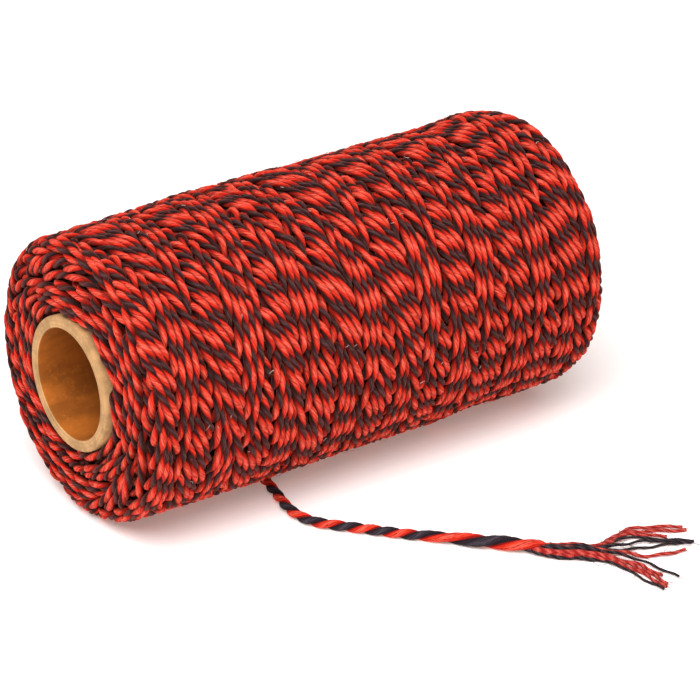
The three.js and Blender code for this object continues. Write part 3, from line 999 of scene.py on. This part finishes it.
class TWINE_OT_stage(bpy.types.Operator):
    """Set up the camera at the product view, soft studio light and a plain pale floor"""

    bl_idname = "twine_roll.stage"
    bl_label = "Stage"

    def execute(self, context):
        options = context.scene.twine_roll_stage
        camera = bpy.data.cameras.new("camera")
        camera.lens = options.lens
        camera.sensor_width = 36
        camera.clip_end = 50
        camera_obj = link(bpy.data.objects.new("camera", camera))
        place = Vector(CAMERA_PLACE)
        turn = (Vector(CAMERA_AIM) - place).to_track_quat("-Z", "Y").to_matrix().to_4x4()
        camera_obj.matrix_world = Matrix.Translation(place) @ turn @ Matrix.Rotation(options.roll, 4, "Z")
        context.scene.camera = camera_obj
        context.scene.view_settings.view_transform = "Standard"

        bm = bmesh.new()
        bmesh.ops.create_grid(bm, x_segments=1, y_segments=1, size=FLOOR_REACH)
        mesh = finished_mesh(bm, "floor")
        mesh.materials.append(table_material(options.floor, options.lift))
        link(bpy.data.objects.new("floor", mesh))

        world = bpy.data.worlds.new("studio")
        world.use_nodes = True
        background = world.node_tree.nodes["Background"]
        background.inputs["Color"].default_value = (1, 1, 1, 1)
        background.inputs["Strength"].default_value = options.sky
        context.scene.world = world

        light = bpy.data.lights.new("key light", "AREA")
        light.shape = "SQUARE"
        light.size = KEY_LIGHT_SIZE
        light.energy = options.key
        light_obj = link(bpy.data.objects.new("key light", light))
        light_obj.location = KEY_LIGHT_PLACE
        aim = Vector(KEY_LIGHT_AIM) - Vector(KEY_LIGHT_PLACE)
        light_obj.rotation_euler = aim.to_track_quat("-Z", "Y").to_euler()
        return {"FINISHED"}


def loose_end_line(spacing):
    half = bpy.context.scene.twine_roll_twine.diameter / 2
    flat = [TUCKED_START] + LOOSE_END_ROUTE
    return smooth_line([(x * MM, y * MM, half) for x, y in flat], spacing)


class TWINE_OT_loose_end(bpy.types.Operator):
    """Model the free length of twine that comes out from under the roll, and its frayed end"""

    bl_idname = "twine_roll.loose_end"
    bl_label = "Loose End"

    def execute(self, context):
        twine = context.scene.twine_roll_twine
        middle, along = loose_end_line(twine.lay / LOOSE_RINGS_PER_LAY)
        up = np.tile([0.0, 0.0, 1.0], (len(middle), 1))
        slack = np.clip((along - SLACK["from"]) / SLACK["over"], 0, 1)
        opened = np.clip((along - SLACK["from"]) / OPENING["over"], 0, 1)
        closing = np.sqrt(np.clip((along[-1] - along) / CLOSING["over"], CLOSING["rest"], 1))
        turns = np.cumsum(np.gradient(along) / twine.loose_lay * (1 - SLACK["twist"] * slack))
        width = twine.diameter * (1 + OPENING["wider"] * opened) * closing
        height = twine.diameter * (1 + OPENING["higher"] * opened) * closing
        middle[:, 2] = 0.5 * height
        rings, _ = twine_rings(middle, up, (FIRST_TURN + turns) * TAU, width, height, 0.5)
        rings[..., 2] = np.maximum(rings[..., 2], 0)
        mesh = tube_mesh("loose_end_twine", [rings], [along / MM], face_slots=PLY_OF_SIDE)
        cord = add_piece("loose_end_twine", mesh, [red_ply(), plain_black_ply()], "loose_end")
        frayed_yarns()
        return {"FINISHED"}


def yarn_line(rng, order, places):
    """Middle line of one yarn: from inside the twine, through the open stub and out over the floor."""
    inside, mouth, stub_end = map(np.array, (LOOSE_END_ROUTE[-3], LOOSE_END_ROUTE[-1], STUB_END))
    ahead = unit(stub_end - mouth)
    side = np.array([-ahead[1], ahead[0]])
    place = 0.5 - order / (len(YARNS) - 1)
    heap = (1 - (2 * place) ** 2) * (0.35 + 0.65 * (order * 7 % 5) / 4)
    flat = [
        inside + side * place * YARN_SPREAD["inside"],
        mouth - ahead * 1.5 + side * place * YARN_SPREAD["mouth"],
        0.5 * (mouth + stub_end) + side * place * YARN_SPREAD["root"] * 0.85,
        stub_end + side * place * YARN_SPREAD["root"],
        *places,
    ]
    heaps = [heap] * (len(flat) - 1) + [rng.random()]
    points = [(*spot, low + more * rise) for spot, (low, more), rise in zip(flat, YARN_HEIGHTS, heaps)]
    line, along = smooth_line(np.array(points) * MM, 0.42 * MM)
    crimp = CRIMP["reach"] * np.clip((along / along[-1] - CRIMP["from"]) / CRIMP["over"], 0, 1)
    turn = along / CRIMP["length"] * TAU + order * 1.9
    heading = unit(np.gradient(line, axis=0))
    line[:, 0] -= crimp * np.cos(turn) * heading[:, 1]
    line[:, 1] += crimp * np.cos(turn) * heading[:, 0]
    line[:, 2] += 0.6 * crimp * np.sin(turn)
    return line, along


def yarn_rings(middle, thickness, twist, outward=(0.0, 0.0, 1.0), sides=8):
    """Rings of a thin yarn of two strands, twisted the other way from the plies."""
    middle[:, 2] = np.maximum(middle[:, 2], 0.5 * thickness)
    along = unit(np.gradient(middle, axis=0))
    across = unit(np.cross(along, outward))
    up = np.cross(across, along)
    angle = np.arange(sides) / sides * TAU
    turned = angle[None, :] + twist[:, None]
    out = (0.5 - 0.07 * np.abs(np.sin(angle)))[None, :] * thickness[:, None]
    rise = (out * np.cos(turned))[..., None] * up[:, None, :]
    side = (out * np.sin(turned))[..., None] * across[:, None, :]
    return middle[:, None, :] + rise + side


def stray_fibres(rng, line):
    """Fine fibres that stand off a yarn."""
    tubes, along = [], []
    heading = unit(np.gradient(line, axis=0))
    share = np.linspace(0, 1, 7)
    for _ in range(STRAY["count"]):
        start = rng.integers(int(STRAY["from"] * len(line)), len(line))
        reach = rng.uniform(*STRAY["reach"])
        lean = heading[start] + rng.normal(0, STRAY["lean"], 3) * (1, 1, 0.6)
        bend = rng.normal(0, STRAY["bend"], 3) * (1, 1, 0.5)
        points = line[start] + reach * (unit(lean) * share[:, None] + bend * share[:, None] ** 2 * 0.5)
        thickness = STRAY_THICKNESS[0] + (STRAY_THICKNESS[1] - STRAY_THICKNESS[0]) * share
        tubes.append(yarn_rings(points, thickness, share))
        along.append(share * reach / MM)
    return tubes, along


def frayed_yarns():
    """The yarns of both plies, from inside the end of the twine to their tips."""
    rng = np.random.default_rng(FRAY_SEED)
    pieces = []
    for tint, full in YARN_THICKNESS.items():
        tubes, along = [], []
        for order, (yarn_tint, places) in enumerate(YARNS):
            if yarn_tint != tint:
                continue
            line, arc = yarn_line(rng, order, places)
            share = arc / arc[-1]
            slim = 1 - YARN_SLIM["share"] * np.clip((share - YARN_SLIM["from"]) / YARN_SLIM["over"], 0, 1)
            waver = 1 + YARN_WAVER["share"] * np.sin(share * YARN_WAVER["waves"] + order)
            tubes.append(yarn_rings(line, full * slim * waver, arc / YARN_LAY * TAU))
            along.append(arc / MM)
            strays, strays_along = stray_fibres(rng, line)
            tubes += strays
            along += strays_along
        name = f"frayed_yarns_{tint}"
        mesh = tube_mesh(name, tubes, along)
        pieces.append(add_piece(name, mesh, [loose_yarn(tint)], "frayed_yarns"))
    return pieces


def tube_outline(inner, outer):
    """Section of the tube's wall: many points along the bore, for its seam, and rounded cut ends."""
    half = TUBE_LENGTH / 2
    outline = [(share * (half - TUBE_EDGE), inner) for share in np.linspace(-1, 1, 49)]
    along_bore = len(outline)
    outline += [(half - TUBE_CHAMFER, inner + TUBE_CHAMFER), (half, inner + TUBE_EDGE)]
    for share in np.linspace(0, 1, 9)[1:-1]:
        outline.append((half, inner + TUBE_EDGE + share * (outer - inner - 2 * TUBE_EDGE)))
    outline += [(half, outer - TUBE_EDGE), (half - TUBE_CHAMFER, outer - TUBE_CHAMFER)]
    outline.append((half - TUBE_EDGE, outer))
    return outline + [(-x, radius) for x, radius in outline[along_bore:]][::-1]


def wind_paper(bm, inner, outer):
    """Gives the bore the step of its slanting seam, and the cut ends the rings of their paper."""
    for vert in bm.verts:
        radius = math.hypot(vert.co.y, vert.co.z)
        angle = math.atan2(vert.co.y, vert.co.z)
        if radius < inner + TUBE_CHAMFER / 2:
            seam = (vert.co.x / SEAM_ADVANCE + angle / TAU) % 1
            scale = 1 + SEAM_STEP * (seam - 0.5) / radius
            vert.co.y *= scale
            vert.co.z *= scale
        elif radius < outer - 2 * TUBE_CHAMFER:
            layer = (radius - inner) / PAPER_LAYER["thickness"]
            relief = math.copysign(PAPER_LAYER["relief"], vert.co.x)
            vert.co.x += relief * math.sin(layer * TAU + angle)


class TWINE_OT_core_tube(bpy.types.Operator):
    """Model the wound paper tube, with its cut ends and the seam inside"""

    bl_idname = "twine_roll.core_tube"
    bl_label = "Paper Tube"

    def execute(self, context):
        outer, inner = TUBE_RADIUS, TUBE_RADIUS - TUBE_WALL
        bm = spun_outline(tube_outline(inner, outer), TUBE_STEPS)
        wind_paper(bm, inner, outer)
        lift_to_axis(bm)
        for face in bm.faces:
            centre = face.calc_center_median()
            radius = math.hypot(centre.y, centre.z - AXIS_HEIGHT)
            face.material_index = 1 if radius < inner + BORE_LAYER else 0
        options = context.scene.twine_roll_tube
        papers = [
            board_material("kraft board edge", tuple(options.board)),
            board_material("kraft board bore", tuple(options.bore)),
        ]
        add_piece("paper_tube", finished_mesh(bm, "paper_tube"), papers, "core_tube")
        return {"FINISHED"}


class TWINE_OT_under_layer(bpy.types.Operator):
    """Model the turns that lie deeper in the roll, as one body under the turns that show, dark with painted
    shade
    """

    bl_idname = "twine_roll.under_layer"
    bl_label = "Under Layer"

    def execute(self, context):
        profile, normal = wound_profile(UNDER_LAYER_STEP)
        line = profile - UNDER_LAYER_DEPTH * normal
        bore = TUBE_RADIUS + FIT_GAP
        line = line[line[:, 1] > bore]
        outline = [(line[0, 0], bore)] + [tuple(point) for point in line] + [(line[-1, 0], bore)]
        bm = spun_outline(outline, UNDER_LAYER_STEPS)
        lift_to_axis(bm)
        mesh = finished_mesh(bm, "winding_under_layer")
        add_piece("winding_under_layer", mesh, [deep_turns_shade_material()], "winding")
        return {"FINISHED"}


def joined_groups(tubes):
    """Numbers of the tubes, in groups that make one mesh each without too many triangles."""
    most_rings = MOST_TRIANGLES / (2 * TWINE_SIDES)
    groups, rings = [[]], 0
    for index, tube in enumerate(tubes):
        if rings + len(tube) > most_rings:
            groups.append([])
            rings = 0
        groups[-1].append(index)
        rings += len(tube)
    return groups


class TWINE_OT_turns(bpy.types.Operator):
    """Model the turns of twine that show on the roll, laid over each other crosswise"""

    bl_idname = "twine_roll.turns"
    bl_label = "Turns"

    def execute(self, context):
        laid = laid_turns()
        for number, group in enumerate(joined_groups(laid[0]), start=1):
            tubes, along, sunk = ([values[index] for index in group] for values in laid)
            name = f"winding_turns_{number}"
            mesh = tube_mesh(name, tubes, along, PLY_OF_SIDE, sunk)
            add_piece(name, mesh, [red_ply(), black_ply()], "winding")
        return {"FINISHED"}


def clinging_fibres(rng, profile, normal, kind):
    """Short fibres that lie on the roll in all directions and stand off it a little at one end."""
    tubes, along = [], []
    share = np.linspace(0, 1, 6)
    for _ in range(kind["count"]):
        length = rng.uniform(*kind["length"])
        heading = rng.uniform(0, TAU) + rng.normal(0, FIBRE_CURL) * share
        step = length / (len(share) - 1)
        arc = rng.uniform(0.1, 0.9) * len(profile) * CELL + np.cumsum(np.cos(heading)) * step
        theta = rng.uniform(0, TAU) + np.cumsum(np.sin(heading)) * step / WINDING_RADIUS
        height = kind["rise"] * rng.uniform(0.3, 1) * share**1.5 - FIBRE_ROOT
        points, outward = on_roll(profile, normal, arc, theta, height)
        thickness = kind["thickness"] * (1 - 0.5 * share)
        tubes.append(yarn_rings(points, thickness, share, outward, sides=4))
        along.append(share * length / MM)
    return tubes, along


class TWINE_OT_fibres(bpy.types.Operator):
    """Scatter the short fibres that stand off the turns and the pale lint that clings to them"""

    bl_idname = "twine_roll.fibres"
    bl_label = "Fibres"

    def execute(self, context):
        rng = np.random.default_rng(context.scene.twine_roll_winding.seed)
        profile, normal = wound_profile(CELL)
        for name, kind, finish in (
            ("winding_fuzz", FUZZ, red_ply()),
            ("winding_lint", LINT, lint_material()),
        ):
            mesh = tube_mesh(name, *clinging_fibres(rng, profile, normal, kind))
            add_piece(name, mesh, [finish], "winding")
        return {"FINISHED"}


class TWINE_PT_panel(bpy.types.Panel):
    """Lists the steps and sizes of the twine roll"""

    bl_idname = "TWINE_PT_panel"
    bl_label = "Twine Roll"
    bl_space_type = "VIEW_3D"
    bl_region_type = "UI"
    bl_category = "Twine Roll"

    def draw(self, context):
        layout = self.layout
        for operator in OPERATORS:
            layout.operator(operator.bl_idname)
        for name, group in SETTINGS.items():
            box = layout.box()
            for key in group.__annotations__:
                box.prop(getattr(context.scene, name), key)


OPERATORS = (
    TWINE_OT_stage,
    TWINE_OT_loose_end,
    TWINE_OT_core_tube,
    TWINE_OT_under_layer,
    TWINE_OT_turns,
    TWINE_OT_fibres,
)
SETTINGS = {
    "twine_roll_twine": TwineSettings,
    "twine_roll_winding": WindingSettings,
    "twine_roll_tube": TubeSettings,
    "twine_roll_stage": StageSettings,
}


def register():
    for group in SETTINGS.values():
        bpy.utils.register_class(group)
    for name, group in SETTINGS.items():
        setattr(bpy.types.Scene, name, PointerProperty(type=group))
    for operator in OPERATORS:
        bpy.utils.register_class(operator)
    bpy.utils.register_class(TWINE_PT_panel)


def unregister():
    bpy.utils.unregister_class(TWINE_PT_panel)
    for operator in reversed(OPERATORS):
        bpy.utils.unregister_class(operator)
    for name in SETTINGS:
        delattr(bpy.types.Scene, name)
    for group in reversed(SETTINGS.values()):
        bpy.utils.unregister_class(group)


def main():
    register()
    bpy.ops.twine_roll.stage()
    bpy.ops.twine_roll.loose_end()
    bpy.ops.twine_roll.core_tube()
    bpy.ops.twine_roll.under_layer()
    bpy.ops.twine_roll.turns()
    bpy.ops.twine_roll.fibres()


if __name__ == "__main__":
    main()
